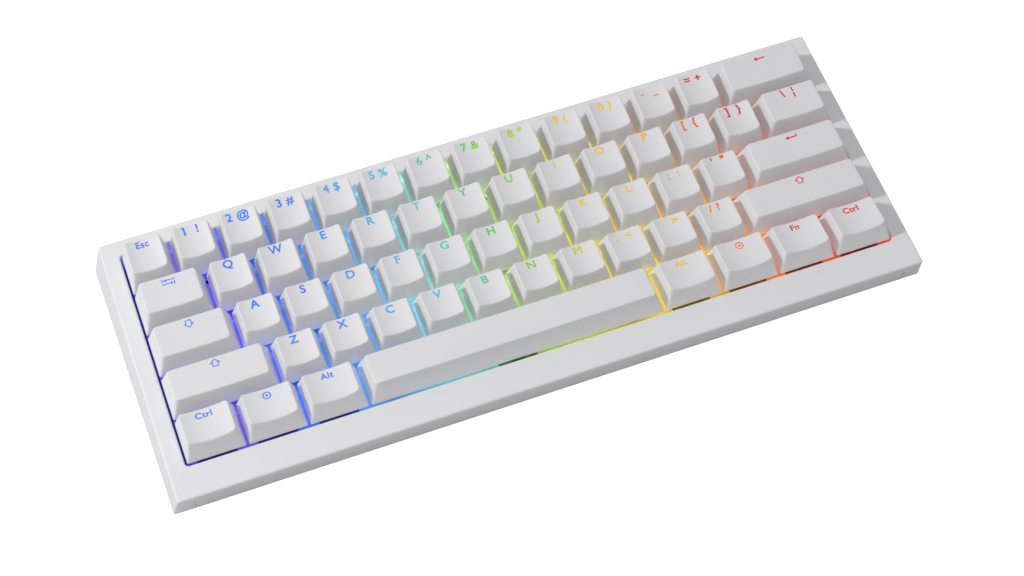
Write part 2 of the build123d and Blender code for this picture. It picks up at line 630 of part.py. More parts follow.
def build_nodes():
    """Every node of the keyboard in the key frame, as lists of separate solids."""
    nodes = {
        "top_case": [top_case()],
        "bottom_case": [bottom_case()],
        "rubber_feet": feet(0, 0, FOOT_SIZE[2]),
        "switch_plate": [switch_plate()],
        "circuit_board": [circuit_board()],
        "controller_chip": [controller_chip()],
        "usb_socket": [usb_socket()],
        "board_screws": copies(board_screw(), SCREW_POINTS),
        "backlight_lamps": copies(lamp(), KEY_POINTS),
        "switch_lower_housings": copies(lower_housing(), KEY_POINTS),
        "switch_upper_housings": copies(upper_housing(), KEY_POINTS),
        "switch_springs": copies(spring(), KEY_POINTS),
        "switch_contacts": [Pos(x, y, 0) * piece for x, y in KEY_POINTS for piece in contacts()],
        "stabiliser_housings": [piece for key in LONG_KEYS
                                for piece in on_key(key, at_stabilisers(stabiliser_housing(), key))],
    }
    for key in KEYS:
        nodes.setdefault(key.node, []).extend(key_pieces(key))
    for key in LONG_KEYS:
        half_span, turn = STABILISED[key.name]
        wire = Rot(0, 0, turn) * stabiliser_wire(half_span)
        nodes[f"{key.name}_wire"] = on_key(key, [wire])
    return nodes


def desk_move(case):
    """The move from the key frame to the desk, with the origin under the case's middle."""
    on_desk = DESK.location.inverse()
    middle = (on_desk * case).bounding_box().center()
    return Pos(-middle.X, -middle.Y, 0) * on_desk


def main():
    os.makedirs("parts", exist_ok=True)
    nodes = build_nodes()
    move = desk_move(nodes["top_case"][0])
    for name, pieces in nodes.items():
        solids = [solid for piece in pieces for solid in (move * piece).solids()]
        node = Compound(label=name, children=solids)
        export_step(node, f"parts/{name}.step")
        print(name, len(solids))


main()
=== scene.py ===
import json
import math
from collections import namedtuple

import bmesh
import bpy
from mathutils import Matrix, Vector
from mathutils.geometry import tessellate_polygon

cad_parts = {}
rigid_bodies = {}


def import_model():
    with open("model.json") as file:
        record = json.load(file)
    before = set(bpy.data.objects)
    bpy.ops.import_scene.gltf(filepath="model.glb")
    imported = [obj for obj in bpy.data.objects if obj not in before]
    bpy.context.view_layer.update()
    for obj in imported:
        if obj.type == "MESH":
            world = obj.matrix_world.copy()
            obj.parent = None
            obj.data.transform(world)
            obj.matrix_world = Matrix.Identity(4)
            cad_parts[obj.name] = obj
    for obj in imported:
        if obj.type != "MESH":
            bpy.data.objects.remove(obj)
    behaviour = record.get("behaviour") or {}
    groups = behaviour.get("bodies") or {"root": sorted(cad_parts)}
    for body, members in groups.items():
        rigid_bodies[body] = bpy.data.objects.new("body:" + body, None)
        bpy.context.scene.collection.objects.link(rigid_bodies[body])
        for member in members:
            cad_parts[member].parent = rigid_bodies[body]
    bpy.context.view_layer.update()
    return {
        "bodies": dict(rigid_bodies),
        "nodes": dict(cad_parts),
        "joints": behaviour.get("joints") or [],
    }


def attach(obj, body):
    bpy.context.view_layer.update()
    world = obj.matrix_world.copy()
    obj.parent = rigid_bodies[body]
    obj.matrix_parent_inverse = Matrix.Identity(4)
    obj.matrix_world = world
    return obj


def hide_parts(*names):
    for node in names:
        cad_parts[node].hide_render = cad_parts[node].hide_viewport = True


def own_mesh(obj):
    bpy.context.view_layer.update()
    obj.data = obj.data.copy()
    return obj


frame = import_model()

# A white 61-key keyboard with a rainbow backlight. Case, plate, board, housings, wires and feet
# are the CAD nodes with new materials. Caps, stems, inserts, legends and springs are built here,
# in the key frame: millimetres, x right from the left edge of the key field, y back from its back
# edge, z = 0 at the caps' lower rims.

# ---- the key frame -------------------------------------------------------------------------
MM = 0.001
KEY_PITCH = 19.05
FIELD_UNITS = 15             # width of the key field in key pitches
PLATE_TOP = -6.0
PLATE_EDGE = 0.3

UP = -Vector(next(joint for joint in frame["joints"] if joint["name"] == "press_escape")["axis"])
RIGHT = Vector((1, 0, 0))
BACK = UP.cross(RIGHT)


def key_frame():
    """The move from key-frame millimetres to row-frame metres, found from the switch plate."""
    points = [vertex.co for vertex in frame["nodes"]["switch_plate"].data.vertices]
    left = min(point.dot(RIGHT) for point in points) - PLATE_EDGE * MM
    back = max(point.dot(BACK) for point in points) + PLATE_EDGE * MM
    top = max(point.dot(UP) for point in points) - PLATE_TOP * MM
    origin = RIGHT * left + BACK * back + UP * top
    turn = Matrix((RIGHT, BACK, UP)).transposed().to_4x4()
    return Matrix.Translation(origin) @ turn @ Matrix.Scale(MM, 4)


KEY_FRAME = key_frame()

# ---- the keys ------------------------------------------------------------------------------
# Each row lists its keys from left to right as (name, width in units, legend).
LAYOUT = [
    [("escape", 1, "Esc"), ("number_1", 1, "1  !"), ("number_2", 1, "2 @"), ("number_3", 1, "3 #"),
     ("number_4", 1, "4 $"), ("number_5", 1, "5 %"), ("number_6", 1, "6 ^"), ("number_7", 1, "7 &"),
     ("number_8", 1, "8 *"), ("number_9", 1, "9 ("), ("number_0", 1, "0 )"), ("minus", 1, "-  _"),
     ("equals", 1, "= +"), ("backspace", 2, "<back>")],
    [("tab", 1.5, "<tab>"), ("q", 1, "Q"), ("w", 1, "W"), ("e", 1, "E"), ("r", 1, "R"), ("t", 1, "T"),
     ("y", 1, "Y"), ("u", 1, "U"), ("i", 1, "I"), ("o", 1, "O"), ("p", 1, "P"),
     ("left_bracket", 1, "[  {"), ("right_bracket", 1, "]  }"), ("backslash", 1.5, "\\  ¦")],
    [("caps_lock", 1.75, "<caps>"), ("a", 1, "A"), ("s", 1, "S"), ("d", 1, "D"), ("f", 1, "F"),
     ("g", 1, "G"), ("h", 1, "H"), ("j", 1, "J"), ("k", 1, "K"), ("l", 1, "L"),
     ("semicolon", 1, ";  :"), ("quote", 1, "'  \""), ("enter", 2.25, "<return>")],
    [("left_shift", 2.25, "<shift>"), ("z", 1, "Z"), ("x", 1, "X"), ("c", 1, "C"), ("v", 1, "V"),
     ("b", 1, "B"), ("n", 1, "N"), ("m", 1, "M"), ("comma", 1, ",  <"), ("period", 1, ".  >"),
     ("slash", 1, "/ ?"), ("right_shift", 2.75, "<shift>")],
    [("left_control", 1.25, "Ctrl"), ("left_system", 1.25, "<system>"), ("left_alt", 1.25, "Alt"),
     ("space", 6.25, ""), ("right_alt", 1.25, "Alt"), ("right_system", 1.25, "<system>"),
     ("function", 1.25, "Fn"), ("right_control", 1.25, "Ctrl")],
]

Key = namedtuple("Key", "name row units x y legend body")
Stabiliser = namedtuple("Stabiliser", "half_span turn")
STABILISED = {
    "backspace": Stabiliser(11.9, 0),
    "enter": Stabiliser(11.9, 0),
    "left_shift": Stabiliser(11.9, 0),
    "right_shift": Stabiliser(11.9, 0),
    "space": Stabiliser(50.0, math.pi),
}


def body_of_key(name):
    """The CAD body a key belongs to: its own, or the one it shares."""
    if name.startswith("number_") or name in ("minus", "equals"):
        return "number_row_keys"
    if name.endswith(("_control", "_system", "_alt")):
        return name.split("_")[1] + "_keys"
    own = f"{name}_key"
    return own if own in frame["bodies"] else "punctuation_keys"


def place_keys():
    """Walk along each row and give every key its middle point."""
    keys = []
    for row, entries in enumerate(LAYOUT):
        left = 0.0
        for name, units, legend in entries:
            x = (left + units / 2) * KEY_PITCH
            y = -(row + 0.5) * KEY_PITCH
            keys.append(Key(name, row, units, x, y, legend, body_of_key(name)))
            left += units
    return keys


KEYS = place_keys()


# ---- material building ---------------------------------------------------------------------
def add_node(tree, kind, inputs=None, **settings):
    """A shader node with its settings, and its inputs given as values or as linked sockets."""
    node = tree.nodes.new(kind)
    for name, value in settings.items():
        setattr(node, name, value)
    for name, value in (inputs or {}).items():
        if isinstance(value, bpy.types.NodeSocket):
            tree.links.new(value, node.inputs[name])
        else:
            node.inputs[name].default_value = value
    return node


def new_material(name):
    """An empty node material and its output node."""
    material = bpy.data.materials.new(name)
    material.use_nodes = True
    tree = material.node_tree
    tree.nodes.clear()
    return material, tree, tree.nodes.new("ShaderNodeOutputMaterial")


def grey(value):
    return (value, value, value, 1.0)


def object_point(tree):
    """The place on the mesh, in row-frame metres at rest."""
    return add_node(tree, "ShaderNodeTexCoord").outputs["Object"]


def noise(tree, size_mm, detail=2.0, roughness=0.5):
    """Smooth noise whose features are about size_mm across."""
    inputs = {"Vector": object_point(tree), "Scale": 1 / (size_mm * MM), "Detail": detail,
              "Roughness": roughness}
    return add_node(tree, "ShaderNodeTexNoise", inputs).outputs["Fac"]


def remap(tree, value, low, high, new_low, new_high):
    inputs = {"Value": value, "From Min": low, "From Max": high, "To Min": new_low, "To Max": new_high}
    return add_node(tree, "ShaderNodeMapRange", inputs).outputs["Result"]


def bump(tree, height, strength, depth_mm):
    inputs = {"Height": height, "Strength": strength, "Distance": depth_mm * MM}
    return add_node(tree, "ShaderNodeBump", inputs).outputs["Normal"]


def mix_colours(tree, factor, first, second):
    """A colour between two, by a factor socket."""
    node = add_node(tree, "ShaderNodeMix", {"Factor": factor}, data_type="RGBA")
    for slot, colour in (("A", first), ("B", second)):
        socket = next(s for s in node.inputs if s.name == slot and s.type == "RGBA")
        if isinstance(colour, bpy.types.NodeSocket):
            tree.links.new(colour, socket)
        else:
            socket.default_value = colour
    return next(s for s in node.outputs if s.type == "RGBA")


def srgb(red, green, blue):
    """A display colour of 0 to 255 as the linear colour a shader takes."""
    def linear(value):
        value = value / 255
        return value / 12.92 if value <= 0.04045 else ((value + 0.055) / 1.055) ** 2.4
    return (linear(red), linear(green), linear(blue), 1.0)


# Rainbow of the backlight from left to right, as (place in key units, display colour).
GLOW_STOPS = [
    (0.0, (60, 25, 195)), (0.8, (115, 80, 228)), (1.6, (78, 72, 235)), (3.0, (50, 112, 235)),
    (4.5, (85, 165, 235)), (5.6, (122, 208, 218)), (6.5, (138, 218, 150)), (7.5, (170, 215, 75)),
    (9.0, (210, 200, 45)), (10.5, (232, 190, 40)), (12.2, (240, 135, 30)), (13.2, (235, 80, 22)),
    (14.6, (218, 42, 16)),
]
LEGEND_STOPS = [
    (0.0, (85, 130, 250)), (3.5, (85, 135, 250)), (5.2, (105, 185, 235)), (6.2, (110, 205, 210)),
    (7.2, (105, 205, 110)), (8.2, (165, 215, 65)), (9.2, (228, 205, 70)), (10.8, (248, 195, 60)),
    (11.6, (245, 140, 40)), (12.4, (238, 50, 15)), (15.0, (228, 18, 6)),
]


def product(tree, *values):
    """All the values multiplied together."""
    result = values[0]
    for value in values[1:]:
        result = add_node(tree, "ShaderNodeMath", {0: result, 1: value}, operation="MULTIPLY").outputs[0]
    return result


def ramp_along(tree, direction, low_mm, high_mm, at_low, at_high):
    """A value that changes evenly along a direction of the key frame, between two places on it."""
    inputs = {0: object_point(tree), 1: tuple(direction)}
    along = add_node(tree, "ShaderNodeVectorMath", inputs, operation="DOT_PRODUCT").outputs["Value"]
    start = direction.dot(KEY_FRAME.translation)
    return remap(tree, along, start + low_mm * MM, start + high_mm * MM, at_low, at_high)


def across_units(tree, low, high, at_low, at_high):
    """A value that changes between two places along the rows, given in key units."""
    return ramp_along(tree, RIGHT, low * KEY_PITCH, high * KEY_PITCH, at_low, at_high)


def down_rows(tree, low, high, at_low, at_high):
    """A value that changes between two places towards the user, given in rows from the back."""
    return ramp_along(tree, -BACK, low * KEY_PITCH, high * KEY_PITCH, at_low, at_high)


def rainbow(tree, stops):
    """The backlight's colour at this place along the key field."""
    ramp = add_node(tree, "ShaderNodeValToRGB", {"Fac": across_units(tree, 0, FIELD_UNITS, 0, 1)})
    elements = ramp.color_ramp.elements
    while len(elements) < len(stops):
        elements.new(0.5)
    for element, (units, colour) in zip(elements, stops):
        element.position = units / FIELD_UNITS
        element.color = srgb(*colour)
    return ramp.outputs["Color"]


def plastic(name, colour, roughness, grain_mm, grain_depth, mottle):
    """Moulded plastic: a fine spark-eroded grain, slight cloudiness and handling sheen."""
    material, tree, output = new_material(name)
    cloud = noise(tree, 18, detail=3)
    tint = mix_colours(tree, remap(tree, cloud, 0.3, 0.7, 0, 1),
                       tuple(c * (1 - mottle) for c in colour[:3]) + (1,), colour)
    grain = noise(tree, grain_mm, detail=4, roughness=0.65)
    sheen = noise(tree, 6, detail=3)
    rough = remap(tree, sheen, 0.3, 0.7, roughness - 0.06, roughness + 0.06)
    shader = add_node(tree, "ShaderNodeBsdfPrincipled", {
        "Base Color": tint, "Roughness": rough, "Normal": bump(tree, grain, 0.5, grain_depth),
        "Specular IOR Level": 0.4})
    tree.links.new(shader.outputs[0], output.inputs["Surface"])
    return material


def metal(name, colour, roughness, stretch=(1, 1, 1)):
    """Drawn or plated metal with fine streaks along one direction."""
    material, tree, output = new_material(name)
    scaled = add_node(tree, "ShaderNodeMapping", {"Vector": object_point(tree), "Scale": stretch})
    streak = add_node(tree, "ShaderNodeTexNoise", {
        "Vector": scaled.outputs[0], "Scale": 2500, "Detail": 3}).outputs["Fac"]
    stain = noise(tree, 4, detail=3)
    tint = mix_colours(tree, stain, tuple(c * 0.8 for c in colour[:3]) + (1,), colour)
    shader = add_node(tree, "ShaderNodeBsdfPrincipled", {
        "Base Color": tint, "Metallic": 1.0, "Normal": bump(tree, streak, 0.3, 0.01),
        "Roughness": remap(tree, streak, 0.3, 0.7, roughness - 0.08, roughness + 0.1)})
    tree.links.new(shader.outputs[0], output.inputs["Surface"])
    return material


def lit_plate():
    """Powder-coated switch plate under the backlight: it glows along the gaps between the caps."""
    material, tree, output = new_material("lit_plate")
    speck = noise(tree, 0.5, detail=3)
    paint = mix_colours(tree, speck, grey(0.3), grey(0.36))
    # Painted light: the plate's glow. Painted shade dims it at the left edge, along the front edge of the
    # key field and under the space bar, and noise paints uneven pools of it.
    from_left = across_units(tree, 0, 0.2, 0.6, 1)
    from_front = down_rows(tree, 4.8, 4.92, 1, 0.4)
    pool = remap(tree, noise(tree, 9, detail=1), 0.3, 0.7, 0.75, 1.15)
    under_space = product(tree, across_units(tree, 3.9, 4.4, 0, 1), across_units(tree, 9.9, 9.4, 0, 1),
                          down_rows(tree, 4.4, 4.7, 0, 1))
    away_from_lamps = remap(tree, under_space, 0, 1, 1, 0.6)
    power = product(tree, from_left, from_front, pool, away_from_lamps)
    seen = add_node(tree, "ShaderNodeLightPath").outputs["Is Camera Ray"]
    gain = remap(tree, seen, 0, 1, PLATE_LIGHT, PLATE_GLOW)
    shader = add_node(tree, "ShaderNodeBsdfPrincipled", {
        "Base Color": paint, "Roughness": 0.5, "Normal": bump(tree, speck, 0.4, 0.03),
        "Emission Color": rainbow(tree, GLOW_STOPS), "Emission Strength": product(tree, power, gain)})
    tree.links.new(shader.outputs[0], output.inputs["Surface"])
    return material


def lit_legend():
    """Second-shot plastic of the legends, lit from under the cap and a little uneven."""
    material, tree, output = new_material("lit_legend")
    colour = rainbow(tree, LEGEND_STOPS)
    uneven = remap(tree, noise(tree, 1.2, detail=2), 0.3, 0.7, 0.88, 1.08)
    level = add_node(tree, "ShaderNodeMath", {0: uneven, 1: LEGEND_GLOW}, operation="MULTIPLY")
    # Painted light: the legends' base colour is the backlight's rainbow, darkened, not the plastic's own
    # colour. Their glow is painted light too.
    backlight_tinted_base = mix_colours(tree, 0.7, colour, grey(0))
    shader = add_node(tree, "ShaderNodeBsdfPrincipled", {
        "Base Color": backlight_tinted_base, "Roughness": 0.5, "Specular IOR Level": 0.15, "Emission Color": colour,
        "Normal": bump(tree, noise(tree, 0.2), 0.2, 0.01), "Emission Strength": level.outputs[0]})
    tree.links.new(shader.outputs[0], output.inputs["Surface"])
    return material


def lit_housing():
    """Smoky switch covers with a painted glow from the lamps round them, and painted shade that leaves them
    nearly black at the front of the last row.
    """
    material, tree, output = new_material("lit_housing")
    grain = noise(tree, 0.3, detail=4)
    # Painted light: the covers' glow, made patchy by noise, with painted shade at the front of the last row.
    patch = product(tree, down_rows(tree, 4.5, 4.7, HOUSING_GLOW, FRONT_HOUSING_GLOW),
                    remap(tree, noise(tree, 5, detail=1), 0.4, 0.6, 0.6, 1.2))
    shader = add_node(tree, "ShaderNodeBsdfPrincipled", {
        "Base Color": mix_colours(tree, grain, grey(0.008), grey(0.016)), "Roughness": 0.4,
        "Normal": bump(tree, grain, 0.5, 0.02), "Emission Color": rainbow(tree, GLOW_STOPS),
        "Emission Strength": patch})
    tree.links.new(shader.outputs[0], output.inputs["Surface"])
    return material


def lit_cap():
    """Cap plastic: some of the backlight comes through the thin walls near the lower rim."""
    material = plastic("white_cap", grey(0.765), 0.5, 0.28, 0.03, mottle=0.025)
    tree = material.node_tree
    shader = next(node for node in tree.nodes if node.type == "BSDF_PRINCIPLED")
    leak = ramp_along(tree, UP, 0, CAP_GLOW_HEIGHT, CAP_GLOW, 0)
    tint = mix_colours(tree, 0.75, rainbow(tree, GLOW_STOPS), grey(1))
    tree.links.new(tint, shader.inputs["Emission Color"])
    tree.links.new(leak, shader.inputs["Emission Strength"])
    return material


def lit_lamp():
    """A lamp's clear dome over white: it shows its place's colour of the rainbow."""
    material, tree, output = new_material("lit_lamp")
    colour = rainbow(tree, GLOW_STOPS)
    cell = noise(tree, 0.8)
    shader = add_node(tree, "ShaderNodeBsdfPrincipled", {
        "Base Color": mix_colours(tree, cell, grey(0.75), grey(0.9)), "Roughness": 0.25,
        "Normal": bump(tree, cell, 0.2, 0.02), "Emission Color": colour, "Emission Strength": 1.5})
    tree.links.new(shader.outputs[0], output.inputs["Surface"])
    return material


def solder_mask():
    """Dark circuit board: mask over a criss-cross of tracks."""
    material, tree, output = new_material("solder_mask")
    tracks = add_node(tree, "ShaderNodeTexBrick", {
        "Vector": object_point(tree), "Scale": 220.0, "Mortar Size": 0.06,
        "Color1": grey(0.012), "Color2": grey(0.02), "Mortar": (0.02, 0.05, 0.035, 1)})
    weave = noise(tree, 0.6, detail=3)
    shader = add_node(tree, "ShaderNodeBsdfPrincipled", {
        "Base Color": tracks.outputs["Color"], "Normal": bump(tree, tracks.outputs["Fac"], 0.3, 0.03),
        "Roughness": remap(tree, weave, 0.3, 0.7, 0.3, 0.42)})
    tree.links.new(shader.outputs[0], output.inputs["Surface"])
    return material


def rubber():
    """Matt rubber with a fine grain and dusty lighter patches."""
    material, tree, output = new_material("rubber")
    dust = noise(tree, 5, detail=4)
    grain = noise(tree, 0.25, detail=3)
    shader = add_node(tree, "ShaderNodeBsdfPrincipled", {
        "Base Color": mix_colours(tree, dust, grey(0.02), grey(0.05)), "Roughness": 0.85,
        "Normal": bump(tree, grain, 0.6, 0.06), "Specular IOR Level": 0.25})
    tree.links.new(shader.outputs[0], output.inputs["Surface"])
    return material


PLATE_GLOW = 0.8             # how bright the plate looks
PLATE_LIGHT = 3.4            # and how strongly it lights the parts around it
# Painted glow of the switch covers, and its dimmer level of painted shade at the front of the last row.
HOUSING_GLOW = 0.9
FRONT_HOUSING_GLOW = 0.15
CAP_GLOW = 0.06              # light through a cap's wall at its lower rim
CAP_GLOW_HEIGHT = 9.0        # millimetres above the rim where it has faded
LEGEND_GLOW = 0.68
WHITE_CASE = plastic("white_case", grey(0.79), 0.42, 0.35, 0.012, mottle=0.02)
WHITE_CAP = lit_cap()
BLACK_PLASTIC = plastic("black_plastic", grey(0.012), 0.4, 0.3, 0.02, mottle=0.3)
STEM_PLASTIC = plastic("stem_plastic", (0.35, 0.03, 0.025, 1), 0.35, 0.3, 0.01, mottle=0.1)
INSERT_PLASTIC = plastic("insert_plastic", grey(0.6), 0.35, 0.3, 0.01, mottle=0.08)
CHIP_EPOXY = plastic("chip_epoxy", grey(0.02), 0.55, 0.15, 0.02, mottle=0.2)
LIT_PLATE = lit_plate()
LIT_LEGEND = lit_legend()
LIT_HOUSING = lit_housing()
LIT_LAMP = lit_lamp()
SOLDER_MASK = solder_mask()
RUBBER = rubber()
STEEL = metal("plated_steel", (0.62, 0.62, 0.64, 1), 0.28, (0.2, 4, 4))
SPRING_STEEL = metal("spring_steel", (0.62, 0.58, 0.5, 1), 0.3)
CONTACT_METAL = metal("contact_metal", (0.75, 0.48, 0.2, 1), 0.3, (4, 4, 0.4))


# ---- mesh building -------------------------------------------------------------------------
def piece_from_bmesh(name, bm, material, sharp_angle=35):
    """A finished piece from a mesh drawn in key-frame millimetres."""
    bmesh.ops.recalc_face_normals(bm, faces=bm.faces)
    bm.transform(KEY_FRAME)
    mesh = bpy.data.meshes.new(name)
    bm.to_mesh(mesh)
    bm.free()
    mesh.shade_smooth()
    mesh.set_sharp_from_angle(angle=math.radians(sharp_angle))
    mesh.materials.append(material)
    piece = bpy.data.objects.new(name, mesh)
    bpy.context.scene.collection.objects.link(piece)
    return piece


def add_ring(bm, points):
    return [bm.verts.new(point) for point in points]


def bridge(bm, first, second):
    """Quads between two closed rings of the same length."""
    count = len(first)
    for i in range(count):
        j = (i + 1) % count
        bm.faces.new((first[i], first[j], second[j], second[i]))


def fill_with_holes(bm, outline, holes=()):
    """Triangles over a flat outline ring, leaving out the hole rings."""
    loops = [outline, *holes]
    verts = [vert for loop in loops for vert in loop]
    for triangle in tessellate_polygon([[vert.co for vert in loop] for loop in loops]):
        bm.faces.new([verts[index] for index in triangle])


def rounded_rectangle(width, depth, radius, corner_steps, long_steps, short_steps):
    """Points of a rounded rectangle round the origin, from the front right corner on."""
    half_x, half_y = width / 2 - radius, depth / 2 - radius
    corners = [(half_x, -half_y, -90), (half_x, half_y, 0), (-half_x, half_y, 90), (-half_x, -half_y, 180)]
    sides = [short_steps, long_steps, short_steps, long_steps]
    points = []
    for index, (x, y, start) in enumerate(corners):
        arc = []
        for step in range(corner_steps + 1):
            angle = math.radians(start + 90 * step / corner_steps)
            arc.append(Vector((x + radius * math.cos(angle), y + radius * math.sin(angle))))
        points += arc
        next_x, next_y, next_start = corners[(index + 1) % 4]
        angle = math.radians(next_start)
        target = Vector((next_x + radius * math.cos(angle), next_y + radius * math.sin(angle)))
        points += [arc[-1].lerp(target, step / sides[index]) for step in range(1, sides[index])]
    return points


def circle(radius, steps=24):
    return [Vector((radius * math.cos(math.tau * i / steps), radius * math.sin(math.tau * i / steps)))
            for i in range(steps)]


def cross_outline(reach, thick):
    """The plus shape of the stem's cross, as twelve corners."""
    a, b = reach / 2, thick / 2
    quarter = [(a, -b), (a, b), (b, b)]
    points = []
    for turn in range(4):
        spin = Matrix.Rotation(turn * math.pi / 2, 2)
        points += [spin @ Vector(corner) for corner in quarter]
    return points


# ---- keycaps -------------------------------------------------------------------------------
CAP_GAP = 0.95
CAP_WALL = 1.35
CAP_ROOF = 1.5
SKIRT_RADIUS = 0.7
TOP_RADIUS = 1.4
EDGE_ROUNDING = 0.5
CAP_INSET = 2.1
WIDE_CAP_INSET = 2.75
POST_RADIUS = 2.75
POST_BOTTOM = 0.75
CROSS_REACH = 4.0
CROSS_THICK = 1.2
CROSS_GAP = 0.1
SOCKET_TOP = 4.5
SCOOP_DEPTH = {1: 1.45, 1.25: 1.75, 1.5: 0.6}
WIDE_SCOOP_DEPTH = 0.35

TopFace = namedtuple("TopFace", "back_height front_height back_y front_y")
ROW_TOPS = [
    TopFace(13.2, 11.8, 7.0, -6.4),
    TopFace(12.6, 12.0, 6.9, -6.6),
    TopFace(10.6, 10.5, 6.8, -6.6),
    TopFace(9.7, 10.7, 6.6, -7.0),
    TopFace(8.7, 10.1, 7.4, -6.0),
]


class CapShape:
    """The outer surface of one keycap: a straight-sided skirt under a scooped, sloping top."""

    def __init__(self, key):
        face = ROW_TOPS[key.row]
        narrow = key.units <= 1.25
        self.inset = CAP_INSET if narrow else WIDE_CAP_INSET
        self.width = key.units * KEY_PITCH - CAP_GAP
        self.depth = KEY_PITCH - CAP_GAP
        self.top_width = self.width - 2 * self.inset
        self.top_length = math.hypot(face.back_y - face.front_y, face.back_height - face.front_height)
        self.scoop = SCOOP_DEPTH.get(key.units, WIDE_SCOOP_DEPTH)
        half_chord = self.top_width / 2 + 0.3
        self.scoop_radius = (half_chord ** 2 + self.scoop ** 2) / (2 * self.scoop)
        slope = math.atan2(face.back_height - face.front_height, face.back_y - face.front_y)
        middle = Vector((0, (face.back_y + face.front_y) / 2, (face.back_height + face.front_height) / 2))
        self.top_frame = Matrix.Translation(middle) @ Matrix.Rotation(slope, 4, "X")
        self.long_steps = 10 + 2 * round(key.units * 2)

    def dip(self, x):
        """How far the scooped face lies under the flat top plane."""
        drop = math.sqrt(self.scoop_radius ** 2 - x * x)
        return max(0.0, drop - (self.scoop_radius - self.scoop))

    def on_top(self, x, s):
        """A point of the scooped face, from its place on the top plane."""
        return self.top_frame @ Vector((x, s, -self.dip(x)))

    def ring(self, width, depth, radius):
        return rounded_rectangle(width, depth, radius, 6, self.long_steps, 5)


def edge_profile(shape, base, top_flat, inward):
    """Points of the rounded edge over one place of the skirt, from the side up to the top."""
    top_corner = shape.top_frame @ Vector((top_flat.x, top_flat.y, 0))
    side = (base - top_corner).normalized()
    fall = shape.dip(top_flat.x) / max(0.2, -side.z)
    corner = top_corner + side * fall
    start = corner + side * EDGE_ROUNDING
    inner = top_flat + inward * EDGE_ROUNDING
    finish = shape.on_top(inner.x, inner.y)
    steps = (0.0, 0.2, 0.4, 0.6, 0.8, 1.0)
    return [start * (1 - t) ** 2 + corner * 2 * t * (1 - t) + finish * t * t for t in steps]


def outer_shell(bm, shape):
    """Skirt, rounded edge and scooped top. Returns the ring at the lower rim."""
    base_flat = shape.ring(shape.width, shape.depth, SKIRT_RADIUS)
    top_flat = shape.ring(shape.top_width, shape.top_length, TOP_RADIUS)
    inner_flat = shape.ring(shape.top_width - 2, shape.top_length - 2, TOP_RADIUS - 1)
    inward = [(b - a).normalized() for a, b in zip(top_flat, inner_flat)]
    base = [Vector((p.x, p.y, 0)) for p in base_flat]
    profiles = [edge_profile(shape, *item) for item in zip(base, top_flat, inward)]

    rim_bevel = 0.15
    centre = Vector((0, 0, 0))
    rim = add_ring(bm, [p + (centre - p).normalized() * rim_bevel for p in base])
    rings = [rim]
    for share in (rim_bevel / 10, 0.35, 0.7):
        rings.append(add_ring(bm, [p.lerp(profile[0], share) for p, profile in zip(base, profiles)]))
    for step in range(len(profiles[0])):
        rings.append(add_ring(bm, [profile[step] for profile in profiles]))
    flats = [p + n * EDGE_ROUNDING for p, n in zip(top_flat, inward)]
    for scale in (0.9, 0.75, 0.6, 0.45, 0.3, 0.15):
        rings.append(add_ring(bm, [shape.on_top(p.x * scale, p.y * scale) for p in flats]))
    for low, high in zip(rings, rings[1:]):
        bridge(bm, low, high)
    hub = bm.verts.new(shape.on_top(0, 0))
    last = rings[-1]
    for i, vert in enumerate(last):
        bm.faces.new((vert, last[(i + 1) % len(last)], hub))
    return rim


def inner_shell(bm, shape, rim, post_places):
    """The hollow inside of the cap with its posts, each with a cross-shaped socket."""
    roof_frame = shape.top_frame @ Matrix.Translation((0, 0, -shape.scoop - CAP_ROOF))
    mouth = shape.ring(shape.width - 2 * CAP_WALL, shape.depth - 2 * CAP_WALL, 0.5)
    ceiling = shape.ring(shape.top_width - 2 * CAP_WALL, shape.top_length - 2 * CAP_WALL, 0.5)
    low = add_ring(bm, [(p.x, p.y, 0) for p in mouth])
    high = add_ring(bm, [roof_frame @ Vector((p.x, p.y, 0)) for p in ceiling])
    bridge(bm, low, rim)
    bridge(bm, high, low)
    to_roof = roof_frame.inverted()

    def roof_height(point):
        """Height of the sloping roof above a place in the skirt's plane."""
        near, far = to_roof @ Vector((*point, 0)), to_roof @ Vector((*point, 10))
        return 10 * near.z / (near.z - far.z)

    holes = []
    for place in post_places:
        outline = [place + p for p in circle(POST_RADIUS)]
        foot = add_ring(bm, [(*p, POST_BOTTOM) for p in outline])
        root = add_ring(bm, [(*p, roof_height(p)) for p in outline])
        socket = [place + p for p in cross_outline(CROSS_REACH + CROSS_GAP, CROSS_THICK + CROSS_GAP)]
        mouth_ring = add_ring(bm, [(*p, POST_BOTTOM) for p in socket])
        end_ring = add_ring(bm, [(*p, SOCKET_TOP) for p in socket])
        bridge(bm, foot, root)
        bridge(bm, mouth_ring, end_ring)
        fill_with_holes(bm, foot, [mouth_ring])
        fill_with_holes(bm, end_ring)
        holes.append(root)
    fill_with_holes(bm, high, holes)


def insert_places(key):
    """Where the stabiliser inserts stand, from the middle of the key."""
    if key.name not in STABILISED:
        return []
    half_span = STABILISED[key.name].half_span
    return [Vector((-half_span, 0)), Vector((half_span, 0))]


def make_cap(key, shape):
    """One hollow keycap riding on its key's body."""
    bm = bmesh.new()
    rim = outer_shell(bm, shape)
    inner_shell(bm, shape, rim, [Vector((0, 0))] + insert_places(key))
    bm.transform(Matrix.Translation((key.x, key.y, 0)))
    piece = piece_from_bmesh(f"cap_{key.name}", bm, WHITE_CAP)
    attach(piece, key.body)
    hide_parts(key.body)
    return piece


